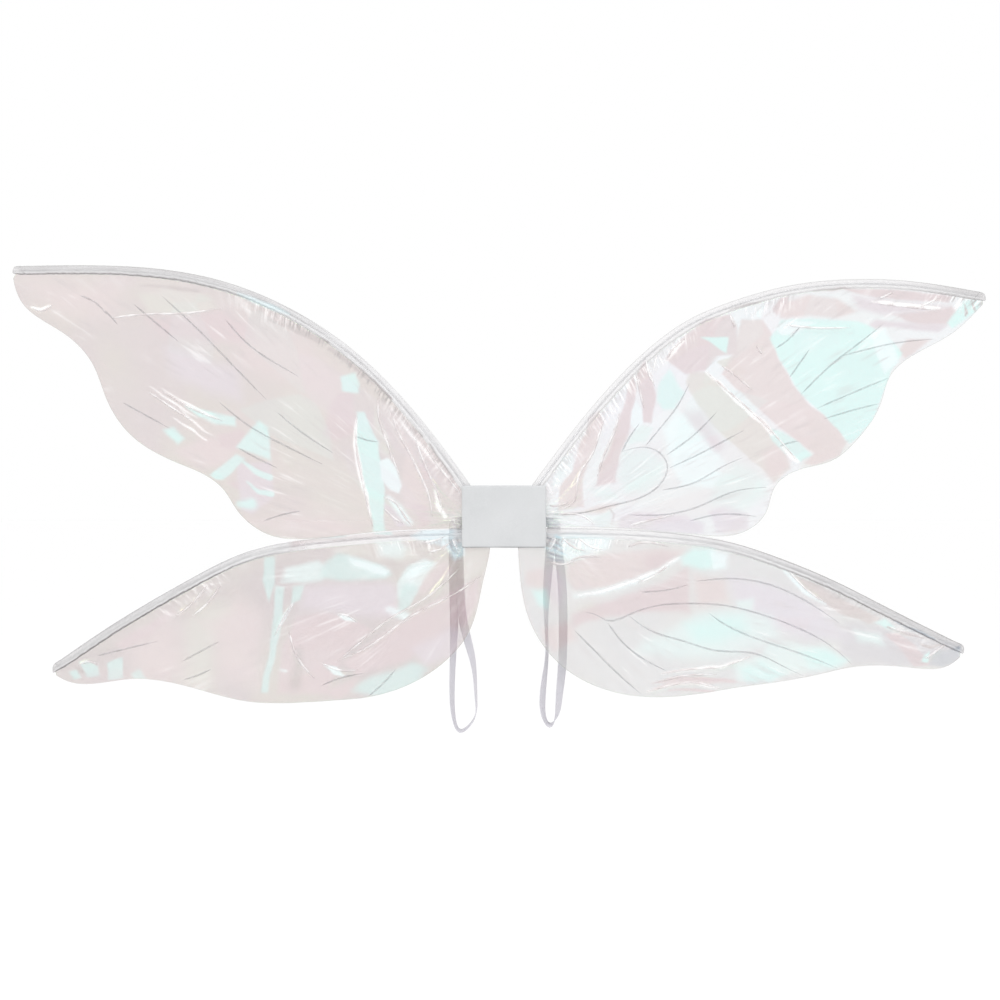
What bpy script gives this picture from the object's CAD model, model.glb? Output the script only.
import math

import bmesh
import bpy
import numpy as np
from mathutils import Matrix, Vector, noise


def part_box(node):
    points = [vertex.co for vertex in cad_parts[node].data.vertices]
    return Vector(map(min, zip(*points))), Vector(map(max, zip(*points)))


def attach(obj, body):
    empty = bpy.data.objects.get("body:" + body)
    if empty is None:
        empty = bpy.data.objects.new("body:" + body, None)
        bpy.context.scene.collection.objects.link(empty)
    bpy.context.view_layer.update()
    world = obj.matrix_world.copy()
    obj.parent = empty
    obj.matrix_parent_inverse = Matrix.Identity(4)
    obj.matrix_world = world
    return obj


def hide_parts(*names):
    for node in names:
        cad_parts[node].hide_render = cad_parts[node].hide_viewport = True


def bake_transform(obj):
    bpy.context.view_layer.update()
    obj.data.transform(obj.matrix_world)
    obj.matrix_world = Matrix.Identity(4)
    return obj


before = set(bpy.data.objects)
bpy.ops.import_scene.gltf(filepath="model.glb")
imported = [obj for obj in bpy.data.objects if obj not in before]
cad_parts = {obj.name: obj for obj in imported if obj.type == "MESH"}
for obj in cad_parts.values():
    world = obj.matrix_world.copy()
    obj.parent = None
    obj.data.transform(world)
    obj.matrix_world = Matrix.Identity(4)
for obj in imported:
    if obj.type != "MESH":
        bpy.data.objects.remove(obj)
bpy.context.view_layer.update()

# Fairy wings. Outlines, veins, folds and colour patches are (x, z) points in millimetres on the wings'
# plane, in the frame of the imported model; everything that Blender gets is in metres.
MM = 0.001
WING_Y = 0.5 * (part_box("upper_left_film")[0].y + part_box("upper_left_film")[1].y) / MM
PAD_HALF_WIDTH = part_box("cover_panel")[1].x / MM

# The film, its printed veins and its pinched folds.
FILM_THICKNESS = 0.3
FILM_EDGE_THICKNESS = 0.7
FILM_ALPHA = 0.335
FILM_COLUMNS = 290
UPPER_FILM_ROWS = 150
LOWER_FILM_ROWS = 110
BILLOW = 3.4
LINE_STEP = 2.0
VEIN_HALF_WIDTH = 0.95
VEIN_RISE = 0.12
FOLD_HALF_WIDTH = 1.15
FOLD_RISE = 0.55
FOLD_HEIGHT = 1.5
FOLD_REACH = 6.5

# The film's gathers and its gleam spread from these distances from the middle of the pad.
GATHER_X = 40.0
GLEAM_X = 30.0

# The sleeve and the wire. Starts and ends are shares of the leading edge, from the pad to the tip.
SLEEVE_ROOT_WIDTH = 11.5
SLEEVE_TIP_WIDTH = 10.0
SLEEVE_FLAT = 0.35
SLEEVE_BULGE = 1.2
SLEEVE_START = 0.004
CAP_START = 0.978
CAP_END = 0.998
SLEEVE_SIDES = 28
WIRE_RADIUS = 1.2
WIRE_START = 0.03
WIRE_END = 0.982

# The pad's foam sheets.
PAD_CORNER = 2.6
PAD_EDGE_DROP = 0.8
PAD_EDGE_WIDTH = 2.2

# The elastic bands.
ELASTIC_HALF_WIDTH = 5.0
ELASTIC_HALF_THICKNESS = 0.6
ELASTIC_RIBS = 8
ELASTIC_PICK = 0.9

# Each wing bends between these distances from the middle of the pad.
BEND_START = 45.5
BEND_END = 60.0

# Each wing. Its outline runs from the pad to the tip along the leading edge and back along the trailing
# edge. "flat" and "area" are the cut size of its film in metres. "seam_line" and "outer_line" are the
# strengths of the sleeve's two dark lines near the pad and near the tip. "clear" says how far the sleeve
# is clear and between which distances from the middle that ends. Streaks in the film point at "hub".
# Dark and light puckers are (start, end, strength) stretches along the sleeve.
WINGS = {
    "upper_left": {
        "side": -1,
        "height_seed": 3.1,
        "gleam_seed": 61.1,
        "gather_z": 0.0,
        "leading": [(-28.0, 21.6), (-83.5, 97.0), (-129.0, 149.5), (-174.0, 191.0), (-240.0, 234.0),
                    (-309.0, 263.0), (-375.0, 277.5), (-450.0, 283.0), (-545.0, 282.5)],
        "nose": (-552.8, 281.0),
        "tip": (-554.5, 274.0),
        "root": [],
        "trailing": [(-545.0, 243.5), (-496.0, 206.0), (-463.0, 170.0), (-449.0, 134.0), (-427.0, 98.0),
                     (-371.0, 61.5), (-318.0, 32.0), (-301.0, 7.0), (-264.0, -21.0), (-225.0, -25.4),
                     (-150.0, -18.0), (-40.0, -13.4)],
        "flat": (0.30, 0.52),
        "area": 0.0829,
        "seam_line": (0.10, 0.75),
        "outer_line": (0.12, 0.5),
        "clear": (0.35, 140.0, 240.0),
        "hub": (-8.0, -60.0),
        "dark_puckers": [(118.0, 275.0, 0.9), (46.0, 120.0, 0.5)],
        "light_puckers": [(46.0, 135.0, 0.45), (235.0, 315.0, 0.6)],
    },
    "upper_right": {
        "side": 1,
        "height_seed": 11.7,
        "gleam_seed": 67.7,
        "gather_z": 0.0,
        "leading": [(22.0, 22.3), (74.4, 93.0), (119.6, 147.0), (164.7, 191.0), (210.0, 223.0),
                    (255.0, 242.0), (322.0, 260.5), (390.0, 267.5), (458.0, 265.5), (533.0, 254.0)],
        "nose": (542.2, 250.5),
        "tip": (543.5, 243.0),
        "root": [],
        "trailing": [(505.0, 206.0), (471.0, 187.0), (434.0, 155.0), (426.0, 130.0), (400.0, 88.5),
                     (370.0, 63.0), (330.0, 51.5), (305.0, 32.0), (297.0, 7.0), (268.0, -18.5),
                     (225.0, -21.6), (140.0, -14.2), (40.0, -12.2)],
        "flat": (0.28, 0.51),
        "area": 0.0770,
        "seam_line": (0.40, 0.35),
        "outer_line": (0.35, 0.6),
        "clear": (0.65, 430.0, 540.0),
        "hub": (8.0, -50.0),
        "dark_puckers": [(46.0, 190.0, 0.35), (295.0, 325.0, 0.5), (500.0, 545.0, 0.8)],
        "light_puckers": [(46.0, 215.0, 0.7), (270.0, 330.0, 0.8), (470.0, 545.0, 0.7)],
    },
    "lower_left": {
        "side": -1,
        "height_seed": 23.3,
        "gleam_seed": 73.3,
        "gather_z": -24.0,
        "leading": [(-30.0, -14.0), (-117.0, -16.4), (-174.0, -21.0), (-241.0, -28.5), (-290.0, -40.0),
                    (-354.0, -70.5), (-444.0, -123.5), (-500.0, -161.5)],
        "nose": (-508.5, -168.5),
        "tip": (-509.0, -176.5),
        "root": [(-15.0, -26.0)],
        "trailing": [(-495.0, -184.5), (-422.0, -183.5), (-377.0, -187.0), (-290.0, -208.5),
                     (-205.0, -208.5), (-140.0, -201.0), (-83.5, -176.5), (-38.4, -128.0),
                     (-24.0, -75.0), (-15.8, -37.0), (-15.0, -30.0)],
        "flat": (0.19, 0.50),
        "area": 0.0598,
        "seam_line": (0.10, 1.2),
        "outer_line": (0.10, 0.7),
        "clear": (1.0, 205.0, 260.0),
        "hub": (-8.0, -40.0),
        "dark_puckers": [(46.0, 100.0, 0.5), (310.0, 380.0, 0.3)],
        "light_puckers": [(46.0, 150.0, 0.8), (310.0, 390.0, 0.7)],
    },
    "lower_right": {
        "side": 1,
        "height_seed": 31.9,
        "gleam_seed": 79.9,
        "gather_z": -24.0,
        "leading": [(30.0, -13.0), (108.0, -14.0), (165.0, -16.4), (210.0, -21.0), (255.0, -29.0),
                    (300.0, -43.0), (368.0, -70.5), (435.0, -104.0), (510.0, -141.5)],
        "nose": (518.5, -147.0),
        "tip": (518.0, -155.0),
        "root": [(15.5, -26.0)],
        "trailing": [(503.0, -167.5), (455.0, -170.0), (390.0, -170.5), (345.0, -180.5), (270.0, -192.0),
                     (187.0, -203.5), (120.0, -197.0), (60.0, -164.0), (26.0, -110.0), (17.0, -55.0),
                     (15.5, -30.0)],
        "flat": (0.19, 0.50),
        "area": 0.0591,
        "seam_line": (0.10, 0.7),
        "outer_line": (0.6, 1.2),
        "clear": (0.6, 150.0, 280.0),
        "hub": (8.0, -40.0),
        "dark_puckers": [(46.0, 80.0, 0.5), (365.0, 425.0, 0.5)],
        "light_puckers": [(46.0, 140.0, 1.0), (420.0, 488.0, 0.45)],
    },
}

# Printed veins.
VEINS = {
    "upper_left": [
        [(-385, 248), (-342, 208), (-309, 174), (-268, 132)],
        [(-417, 239), (-392, 218), (-368, 198)],
        [(-314, 222), (-288, 194), (-256, 172), (-232, 158)],
        [(-320, 128), (-290, 104), (-249, 81), (-205, 59)],
        [(-299, 77), (-277, 65), (-256, 55)],
        [(-429, 128), (-400, 112), (-378, 100)],
        [(-255, 117), (-228, 95), (-193, 72)],
        [(-271, -5), (-250, 2), (-230, 6)],
        [(-166, 90), (-154, 86), (-142, 84)],
        [(-450, 232), (-443, 225), (-436, 217)],
        [(-478, 249), (-462, 242), (-448, 228)],
    ],
    "upper_right": [
        [(51, 3), (87, 4), (120, 12), (160, 24), (180, 42), (184, 58), (175, 72), (160, 78), (133, 73)],
        [(133, 73), (142, 90), (152, 104)],
        [(160, 80), (178, 102), (197, 127), (209, 150)],
        [(184, 70), (213, 91), (239, 117)],
        [(187, 55), (219, 70), (248, 85), (270, 97)],
        [(179, 30), (214, 38), (248, 57), (268, 66)],
        [(140, 2), (179, 2), (219, 11), (259, 28), (296, 33)],
        [(322, 157), (332, 171), (344, 188)],
        [(335, 138), (359, 162), (380, 180), (405, 199), (426, 216)],
        [(381, 181), (411, 189), (450, 197), (484, 200)],
        [(353, 122), (385, 136), (433, 156)],
        [(361, 110), (390, 119), (422, 127)],
        [(311, 79), (321, 83), (332, 85)],
        [(307, 190), (320, 199), (335, 216)],
        [(210, -5), (240, 2), (285, 0)],
    ],
    "lower_left": [
        [(-361, -184), (-348, -180), (-330, -172)],
        [(-362, -163), (-342, -152), (-321, -141)],
        [(-458, -157), (-430, -150), (-392, -141)],
        [(-206, -191), (-190, -184), (-160, -177)],
        [(-152, -202), (-138, -190), (-122, -172)],
    ],
    "lower_right": [
        [(92, -108), (105, -111), (115, -117), (138, -112), (158, -104), (183, -99), (214, -98), (239, -99),
         (289, -110), (345, -132), (379, -154), (392, -167)],
        [(80, -129), (100, -149), (126, -175), (154, -200)],
        [(117, -120), (134, -142), (158, -161), (183, -174)],
        [(141, -112), (164, -128), (201, -140), (239, -151), (285, -155), (313, -168), (338, -180)],
        [(231, -109), (248, -121), (268, -131), (303, -144), (341, -157), (376, -171)],
        [(155, -85), (183, -83), (207, -77)],
        [(217, -73), (250, -70), (300, -77), (345, -98), (378, -120)],
    ],
}

# Pinched folds that stand up from the film and catch the light.
FOLDS = {
    "upper_left": [
        [(-140, 139), (-142, 118), (-135, 92), (-124, 62), (-118, 48)],
        [(-127, 118), (-119, 94), (-108, 74), (-95, 48), (-84, 20), (-81, 0)],
        [(-100, 88), (-92, 65), (-80, 38), (-72, 18), (-70, 2)],
        [(-87, 78), (-76, 60), (-62, 42), (-50, 26)],
        [(-136, 22), (-124, 17), (-112, 0), (-100, -14)],
        [(-135, 9), (-122, -3), (-114, -8)],
        [(-166, 112), (-166, 75), (-160, 45), (-154, 15), (-148, -12)],
        [(-442, 224), (-400, 228), (-360, 229), (-318, 235)],
        [(-532, 237), (-522, 232), (-510, 238)],
        [(-400, 140), (-376, 124), (-350, 107)],
        [(-384, 141), (-352, 122), (-318, 108)],
    ],
    "upper_right": [
        [(60, 8), (78, 16), (84, 45), (98, 68), (108, 95), (114, 112)],
        [(105, 45), (113, 70), (124, 95), (130, 116)],
        [(52, 12), (60, 12), (72, 16)],
        [(150, 160), (153, 142), (158, 122)],
        [(160, 178), (163, 162), (170, 148)],
        [(172, 182), (168, 164)],
        [(184, 177), (191, 190), (204, 200)],
        [(60, 2), (90, 0), (102, -9)],
        [(142, -10), (165, -4), (192, 2)],
        [(228, 163), (262, 133), (290, 108), (330, 64)],
        [(245, 170), (262, 158), (280, 142)],
        [(284, 193), (291, 183)],
        [(255, 227), (260, 214)],
        [(420, 241), (450, 237), (492, 233)],
        [(424, 246), (439, 253)],
        [(470, 237), (492, 247)],
        [(318, 216), (345, 213), (390, 213)],
    ],
    "lower_left": [
        [(-26, -67), (-54, -86), (-111, -116), (-152, -146), (-188, -162)],
        [(-50, -58), (-92, -94), (-130, -116), (-167, -146), (-182, -158)],
        [(-242, -130), (-232, -160), (-214, -182)],
        [(-335, -77), (-352, -98), (-370, -112)],
        [(-320, -77), (-335, -98), (-352, -112)],
        [(-238, -98), (-250, -118), (-258, -134)],
        [(-205, -165), (-190, -172), (-165, -173)],
        [(-187, -110), (-175, -112), (-166, -119)],
        [(-92, -30), (-78, -27), (-66, -22)],
        [(-86, -40), (-70, -36), (-60, -28)],
        [(-458, -166), (-470, -163), (-480, -168)],
    ],
    "lower_right": [
        [(186, -55), (168, -67), (150, -75)],
        [(160, -198), (188, -190), (215, -187), (242, -194)],
        [(178, -177), (210, -172), (245, -169), (277, -158)],
        [(170, -187), (200, -180), (240, -178)],
        [(66, -24), (78, -34), (92, -39)],
        [(74, -50), (90, -45), (108, -46)],
        [(84, -24), (98, -34), (112, -37)],
        [(52, -52), (66, -54), (80, -50)],
        [(322, -62), (342, -83), (364, -98)],
        [(432, -124), (455, -131), (474, -137)],
        [(476, -160), (490, -150), (500, -143)],
        [(140, -34), (160, -29), (185, -34)],
    ],
}

# Where the film's interference colours change. Each patch has the softness of its edge and either an
# outline of (x, z) points or a stroke of (x, z, radius) points.
PATCHES = {
    "upper_left": {
        "cream": [
            (5, [(-412, 250), (-400, 232), (-360, 228), (-320, 234), (-335, 250), (-375, 256)]),
            (5, [(-240, 195), (-226, 196), (-222, 178), (-240, 172)]),
            (3, [(-145, 125), (-136, 100), (-126, 70), (-135, 70), (-147, 95)])],
        "beige": [
            (18, [(-262, 118), (-235, 150), (-196, 124), (-196, 70), (-158, 50), (-152, 0), (-166, -24),
                (-240, -26), (-222, 26), (-256, 60)])],
        "pink": [
            (18, [(-540, 265), (-430, 262), (-440, 225), (-500, 225)]),
            (16, [(-300, 215), (-220, 195), (-180, 160), (-185, 110), (-240, 150), (-300, 170)]),
            (3, [(-130, 125), (-105, 78), (-88, 40), (-84, 2), (-108, 4), (-116, 30), (-112, 70)]),
            (6, [(-375, 75), (-330, 90), (-296, 90), (-310, 62), (-340, 52)]),
            (10, [(-300, -4), (-200, -2), (-160, -20), (-220, -22), (-270, -14)])],
        "rose": [
            (7, [(-402, 222), (-360, 226), (-322, 232), (-288, 218), (-278, 196), (-335, 198), (-385, 205)]),
            (4, [(-198, 122), (-186, 140), (-170, 138), (-168, 95), (-190, 85), (-202, 92)]),
            (2.5, [(-322, 92), (-300, 99), (-292, 95), (-302, 74), (-320, 78)]),
            (2, [(-102, 58), (-92, 60), (-82, 42), (-92, 42)]),
            (2.5, [(-132, -12), (-100, -16), (-94, -8), (-105, 14), (-86, 12), (-84, -14), (-120, -22)]),
            (2, [(-312, 37), (-298, 41), (-290, 35), (-296, 28)])],
        "violet": [
            (10, [(-382, 190), (-345, 182), (-300, 165), (-295, 130), (-335, 140), (-375, 160)]),
            (2, [(-300, 60), (-262, 62), (-260, 22), (-284, 2), (-296, 8), (-300, 40)]),
            (1.2, [(-138, 18), (-124, 10), (-110, -10), (-118, -12), (-134, 6)])],
        "cyan": [
            (2.5, [(-302, 78), (-284, 100), (-276, 108), (-266, 100), (-262, 64), (-280, 70)]),
            (2, [(-332, 47), (-320, 56), (-302, 70), (-292, 66), (-304, 52), (-316, 41), (-326, 42)]),
            (2.5, [(-360, 125), (-344, 112), (-324, 104), (-302, 102), (-303, 112), (-330, 118)]),
            (3, [(-384, 98), (-372, 101), (-360, 88), (-368, 82)]),
            (1.2, [(-294, 62, 1.5), (-280, 50, 3), (-264, 44, 4)]),
            (1.2, [(-290, 40, 1), (-276, 28, 2.5), (-262, 26, 3)]),
            (4, [(-298, 14, 3), (-284, 14, 6)]),
            (2.5, [(-184, 158), (-168, 162), (-163, 150), (-164, 139), (-182, 142)]),
            (2, [(-166, 118), (-158, 118), (-142, 84), (-139, 58), (-134, 30), (-136, 0), (-134, -14),
                (-128, -24), (-147, -24), (-149, 0), (-156, 30), (-164, 66), (-168, 92)])],
        "pale": [
            (2, [(-141, 62), (-131, 66), (-122, 55), (-115, 36), (-118, 25), (-128, 30), (-138, 42)]),
            (2, [(-300, 252, 1), (-282, 243, 3), (-262, 236, 3), (-242, 229, 1)]),
            (3, [(-130, 22, 2), (-118, 8, 5), (-106, -8, 3)])],
        "white": [
            (1.5, [(-167, 110, 1), (-168, 80, 2.5), (-162, 52, 3), (-155, 22, 2), (-150, 2, 1)]),
            (2, [(-118, 110, 0.5), (-104, 92, 2), (-86, 70, 2), (-62, 44, 0.5)]),
            (2, [(-78, 30, 1), (-74, 10, 2.5), (-66, 0, 2.5)]),
            (1, [(-400, 146, 0.4), (-372, 128, 1.2), (-345, 110, 0.4)]),
            (1, [(-386, 144, 0.4), (-355, 126, 1.2), (-322, 110, 0.4)]),
            (1, [(-374, 112, 0.4), (-352, 98, 1.4), (-335, 86, 1.0)]),
            (1, [(-366, 122, 0.4), (-345, 102, 1.2), (-328, 92, 0.4)]),
            (1.5, [(-533, 236, 0.8), (-522, 233, 1.6), (-512, 238, 0.8)])],
        "milky": [
            (3, [(-60, 1), (-45, 1), (-45, -13), (-60, -13)])],
        "deep": [
            (2, [(-410, 261, 1), (-370, 258, 2.5), (-345, 254, 1.5)]),
            (1.5, [(-265, 222, 1), (-240, 212, 3), (-208, 199, 3.5), (-198, 196, 1)]),
            (1.2, [(-198, 189, 2), (-182, 180, 3), (-160, 162, 3), (-140, 145, 2), (-128, 133, 2)]),
            (1.2, [(-122, 122, 0.7), (-104, 100, 1.6), (-92, 90, 1)]),
            (1.2, [(-84, 82, 0.7), (-70, 60, 1.4), (-58, 44, 0.7)]),
            (1.2, [(-60, -3, 0.5), (-53, -1, 1.5), (-46, -1, 1)])],
    },
    "upper_right": {
        "cream": [
            (2, [(210, 163), (230, 163), (262, 128), (302, 96), (318, 70), (322, 54), (304, 38), (296, 50),
                (262, 78), (232, 105), (210, 140), (205, 152)]),
            (1.5, [(240, 174), (258, 182), (274, 162), (258, 158)]),
            (9, [(325, 92), (345, 112), (372, 96), (386, 80), (360, 58), (338, 58), (352, 72)]),
            (3, [(84, 72), (88, 90), (101, 99), (104, 90), (98, 68), (90, 60)])],
        "pink": [
            (1.8, [(262, 200), (268, 222), (292, 222), (302, 205), (310, 178), (325, 150), (345, 126),
                (374, 104), (386, 82), (378, 68), (350, 57), (338, 60), (350, 72), (310, 100), (280, 128),
                (245, 160), (258, 185)]),
            (6, [(290, 72), (312, 84), (322, 56), (304, 38), (296, 52)]),
            (2, [(62, 6), (62, 32), (80, 62), (88, 88), (104, 100), (104, 86), (90, 55), (84, 12)]),
            (2, [(96, 112), (108, 120), (112, 104), (100, 72), (88, 40), (90, 10), (82, 12), (85, 48)]),
            (3, [(112, 60), (124, 92), (132, 116), (128, 92), (120, 60)]),
            (3, [(310, 240), (345, 250), (374, 246), (398, 232), (375, 224), (345, 226), (312, 224)]),
            (2.5, [(445, 186), (455, 200), (482, 200), (470, 190), (454, 178)]),
            (4, [(64, 4), (90, 6), (110, 14), (130, 14), (110, 4)])],
        "rose": [
            (2, [(182, 178), (200, 200), (226, 222), (256, 228), (263, 214), (262, 184), (240, 180),
                (226, 165), (205, 160), (196, 166)]),
            (1.8, [(104, 34), (108, 56), (120, 72), (126, 96), (134, 120), (140, 146), (146, 160),
                (150, 142), (144, 120), (140, 92), (130, 68), (126, 38)]),
            (1.8, [(150, 160), (158, 176), (166, 160), (172, 138), (166, 106), (157, 106), (154, 140)]),
            (5, [(246, 2), (256, 11), (270, 2), (272, -10), (262, -17), (248, -14)]),
            (2, [(372, 258), (440, 256), (505, 249), (502, 242), (470, 243), (420, 247)]),
            (3, [(440, 228), (470, 231), (505, 238), (511, 230), (500, 217), (480, 215), (452, 220)]),
            (2, [(302, 234), (312, 246), (322, 250), (318, 238), (308, 226)])],
        "cyan": [
            (1.8, [(300, 200), (312, 222), (345, 223), (400, 220), (430, 205), (450, 184), (437, 165),
                (432, 150), (424, 130), (415, 108), (400, 90), (390, 82), (376, 98), (350, 125), (335, 138),
                (322, 158), (310, 180)]),
            (1.5, [(222, 202), (253, 202), (251, 183), (243, 188), (234, 196)]),
            (1.5, [(296, 101), (310, 97), (333, 84), (347, 70), (333, 61), (316, 72), (303, 85)]),
            (2.5, [(500, 219), (512, 233), (519, 244), (536, 243), (537, 235), (520, 222), (506, 212)]),
            (3, [(172, 130), (176, 152), (186, 166), (196, 150), (204, 140), (192, 122), (180, 120)])],
        "aqua": [
            (6, [(128, 45), (135, 70), (160, 76), (178, 62), (180, 44), (160, 28), (140, 26)]),
            (8, [(235, 40), (262, 62), (292, 46), (296, 25), (270, 5), (235, 15)]),
            (3, [(140, 82), (150, 104), (168, 100), (160, 84)]),
            (5, [(98, 30), (118, 34), (128, 20), (104, 22)]),
            (4, [(100, -2), (120, 8), (122, -10), (104, -12)])],
        "lilac": [
            (3, [(128, -13), (131, 0), (150, 5), (204, 1), (226, -8), (224, -20), (180, -17)]),
            (3, [(232, 6), (256, 15), (276, 2), (276, -14), (240, -18)])],
        "violet": [
            (6, [(372, 176), (386, 186), (412, 186), (430, 164), (410, 150), (382, 152)]),
            (2, [(140, -9, 1), (160, -4, 3), (200, -6, 3), (220, -12, 1)]),
            (8, [(205, 118), (222, 118), (250, 80), (235, 60), (215, 80)]),
            (2, [(318, 214, 1.5), (345, 210, 3), (385, 208, 3), (402, 203, 1)]),
            (3, [(408, 212), (440, 214), (490, 208), (500, 216), (450, 219), (420, 222)]),
            (5, [(392, 250), (440, 244), (500, 238), (470, 230), (430, 228), (400, 234)])],
        "white": [
            (1.5, [(228, 164, 1.2), (262, 130, 2.2), (292, 106, 3.0), (302, 94, 2.4)]),
            (1.5, [(312, 80, 0.8), (324, 68, 2.8), (332, 62, 1.6)]),
            (1.5, [(415, 243, 1.0), (450, 239, 2.2), (492, 235, 1.0)]),
            (1.5, [(184, 176, 0.8), (192, 188, 2.4), (203, 198, 1.2)])],
        "pale": [
            (1.8, [(148, 132), (155, 122), (157, 105), (148, 96), (142, 104)]),
            (5, [(180, 100), (195, 120), (225, 88), (250, 60), (235, 35), (200, 35), (188, 60)]),
            (3, [(414, 208), (430, 212), (440, 192), (446, 175), (430, 162), (420, 180)]),
            (2, [(304, 214), (320, 221), (352, 219), (330, 206), (312, 205)]),
            (1.5, [(292, 240, 2), (288, 228, 3.5)]),
            (2, [(52, 34), (66, 66), (78, 72), (76, 52), (62, 36)])],
        "deep": [
            (1, [(350, 255, 0.7), (372, 256, 1.4), (386, 257, 0.7)]),
            (1, [(255, 234, 0.7), (275, 239, 1.5), (290, 242, 1)]),
            (1, [(519, 240, 0.6), (522, 230, 2), (521, 226, 0.6)]),
            (1, [(527, 243, 0.6), (531, 235, 1.6), (534, 230, 0.6)]),
            (1, [(118, 10, 0.5), (124, 2, 1.2), (122, -10, 0.7)])],
        "blue": [
            (0.8, [(46, 2, 1.2), (56, 3, 1.0), (62, 3, 0.3)]),
            (0.8, [(46, -3, 1.8), (56, -2, 1.4), (64, -3, 0.3)]),
            (0.8, [(46, -9, 1.4), (58, -9, 0.9), (66, -9, 0.3)])],
    },
    "lower_left": {
        "teal": [
            (2, [(-270, -46), (-258, -46), (-259, -74), (-265, -96), (-272, -72)]),
            (2, [(-258, -78), (-248, -80), (-249, -108), (-253, -135), (-260, -165), (-266, -198),
                (-275, -198), (-266, -160), (-260, -120)]),
            (2, [(-238, -80), (-225, -78), (-230, -94), (-240, -98)]),
            (4, [(-202, -52), (-188, -42), (-160, -48), (-136, -56), (-127, -64), (-135, -70), (-185, -72),
                (-208, -68)]),
            (3, [(-114, -80), (-104, -70), (-98, -84), (-106, -100), (-120, -112), (-118, -95)]),
            (5, [(-172, -196), (-150, -180), (-125, -175), (-104, -164), (-86, -172), (-98, -190),
                (-140, -204)]),
            (1.5, [(-480, -164), (-470, -162), (-458, -169), (-457, -179), (-470, -182), (-474, -172)]),
            (1.5, [(-491, -176), (-482, -172), (-476, -182), (-484, -184)]),
            (1.5, [(-448, -166), (-430, -158), (-430, -182), (-446, -184)]),
            (2.5, [(-420, -178), (-410, -172), (-403, -183), (-418, -185)]),
            (2, [(-224, -17), (-180, -13), (-168, -20), (-200, -25), (-224, -24)]),
            (1.5, [(-146, -14), (-128, -13), (-126, -21), (-146, -21)])],
        "aqua": [
            (4, [(-252, -74), (-246, -58), (-210, -50), (-195, -60), (-206, -72), (-226, -76)]),
            (3, [(-120, -74), (-108, -56), (-90, -48), (-76, -52), (-90, -70), (-104, -96), (-120, -92)]),
            (6, [(-144, -30), (-120, -26), (-108, -36), (-116, -46), (-138, -44)])],
        "pink": [
            (20, [(-430, -140), (-380, -112), (-362, -125), (-362, -180), (-410, -180)]),
            (14, [(-300, -90), (-272, -110), (-278, -190), (-320, -180), (-330, -130)]),
            (5, [(-110, -72), (-84, -52), (-66, -50), (-60, -62), (-90, -88)]),
            (6, [(-240, -22), (-48, -6), (-48, -22), (-120, -26), (-240, -36)])],
        "brown": [
            (1, [(-126, -21.5, 0.6), (-112, -20.5, 1.6), (-96, -20, 0.6)]),
            (1, [(-232, -27, 0.6), (-214, -26, 1.3), (-150, -24, 0.9), (-136, -22.5, 0.4)])],
        "rose": [
            (3, [(-234, -112), (-200, -108), (-165, -118), (-148, -128), (-178, -152), (-200, -200),
                (-256, -200), (-250, -150)]),
            (3, [(-182, -165), (-100, -106), (-28, -68), (-30, -96), (-42, -122), (-80, -142), (-110, -162),
                (-165, -178)]),
            (2.5, [(-205, -200), (-165, -180), (-172, -196), (-185, -205)]),
            (3, [(-440, -144), (-385, -112), (-372, -108), (-395, -130), (-430, -150)]),
            (2.5, [(-82, -66), (-66, -54), (-58, -60), (-78, -74)])],
        "cream": [
            (10, [(-362, -122), (-322, -96), (-300, -100), (-322, -135), (-332, -190), (-362, -187)]),
            (3, [(-48, -42), (-18, -36), (-20, -55), (-28, -66), (-48, -72)]),
            (4, [(-192, -37), (-160, -34), (-150, -42), (-180, -44)]),
            (4, [(-142, -30), (-104, -36), (-96, -46), (-120, -52)])],
        "violet": [
            (8, [(-225, -80), (-200, -76), (-125, -74), (-118, -84), (-122, -114), (-165, -112),
                (-200, -107), (-230, -104)]),
            (6, [(-104, -150), (-62, -126), (-42, -128), (-58, -158), (-90, -168)])],
        "pale": [
            (4, [(-172, -54), (-176, -46), (-158, -50), (-130, -60), (-134, -67), (-150, -64)]),
            (4, [(-112, -68), (-100, -56), (-84, -52), (-98, -70), (-106, -78)]),
            (1.2, [(-238, -98, 1), (-248, -114, 2.4), (-256, -130, 1)]),
            (1.5, [(-188, -110), (-176, -110), (-165, -119), (-178, -117)]),
            (1.5, [(-203, -168), (-188, -170), (-178, -180), (-192, -178)]),
            (1.5, [(-252, -173, 1), (-245, -174, 1.5)]),
            (4, [(-130, -105, 3), (-112, -112, 5)])],
        "ice": [
            (3, [(-106, -22), (-92, -15), (-48, -13), (-44, -44), (-56, -50), (-66, -34), (-86, -29)]),
            (1, [(-220, -14), (-184, -12), (-176, -18), (-200, -23), (-220, -22)])],
        "milky": [
            (3, [(-57, -13), (-45, -13), (-45, -28), (-56, -29)])],
        "deep": [
            (1, [(-487, -168, 0.5), (-476, -174, 2), (-470, -178, 0.5)]),
            (6, [(-230, -150, 2), (-236, -190, 6)])],
        "blue": [
            (0.7, [(-62, -18, 0.5), (-60, -28, 1.0), (-58, -38, 0.9), (-52, -43, 0.4)]),
            (0.7, [(-53, -24, 0.5), (-52, -30, 0.9), (-55, -36, 0.5)]),
            (0.6, [(-96, -21, 0.4), (-93, -16, 0.8), (-90, -21, 0.4)]),
            (0.6, [(-72, -15, 0.4), (-69, -20, 0.8), (-66, -15, 0.4)]),
            (0.7, [(-78, -26, 0.4), (-72, -30, 1.0), (-70, -36, 0.4)]),
            (0.7, [(-88, -26, 0.4), (-84, -30, 0.9), (-80, -34, 0.4)])],
    },
    "lower_right": {
        "cyan": [
            (5, [(200, -46), (214, -35), (236, -38), (246, -56), (222, -60), (202, -54)]),
            (12, [(205, -122), (235, -112), (268, -112), (275, -130), (240, -142), (215, -140)]),
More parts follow.
